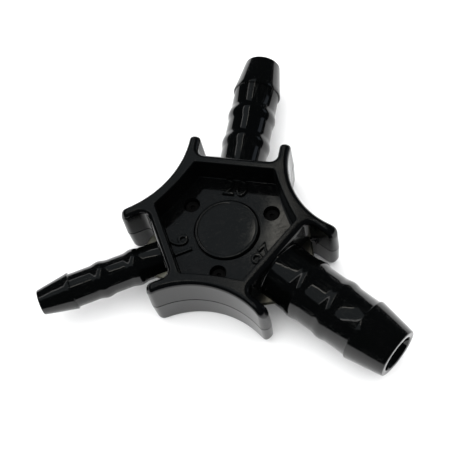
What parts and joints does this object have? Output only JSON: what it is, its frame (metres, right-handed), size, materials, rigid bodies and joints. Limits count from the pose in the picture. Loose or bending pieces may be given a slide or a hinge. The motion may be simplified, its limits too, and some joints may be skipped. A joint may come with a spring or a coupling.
{
  "type": "three-way pipe calibrator",
  "caption": "Flat hand tool with three ribbed mandrels on a shared hub that round and chamfer the ends of multilayer pipe.",
  "frame": {"origin": "centre of the front disc's flat face, on the axis through the hub", "axes": "+Z out of the front pocket, square to the parting plane; +Y along the 20 mm mandrel; the 16 mm mandrel points to 210 degrees and the 26 mm one to 330 degrees from +X"},
  "size_m": [0.1152, 0.1034, 0.022],
  "materials": {
    "front_shell": "satin black moulded plastic",
    "rear_shell": "satin black moulded plastic",
    "discs": "polished black plastic",
    "mandrels": "polished black plastic",
    "blades": "ground steel",
    "screws": "black oxide",
    "nuts": "zinc plate"
  },
  "bodies": {
    "root": {"front_shell": "front_shell", "rear_shell": "rear_shell", "front_disc": "discs", "rear_disc": "discs", "mandrel_16": "mandrels", "blade_16_left": "blades", "blade_16_right": "blades", "mandrel_20": "mandrels", "blade_20_left": "blades", "blade_20_right": "blades", "mandrel_26": "mandrels", "blade_26_left": "blades", "blade_26_right": "blades", "screw_1": "screws", "nut_1": "nuts", "screw_2": "screws", "nut_2": "nuts", "screw_3": "screws", "nut_3": "nuts"}
  },
  "joints": []
}
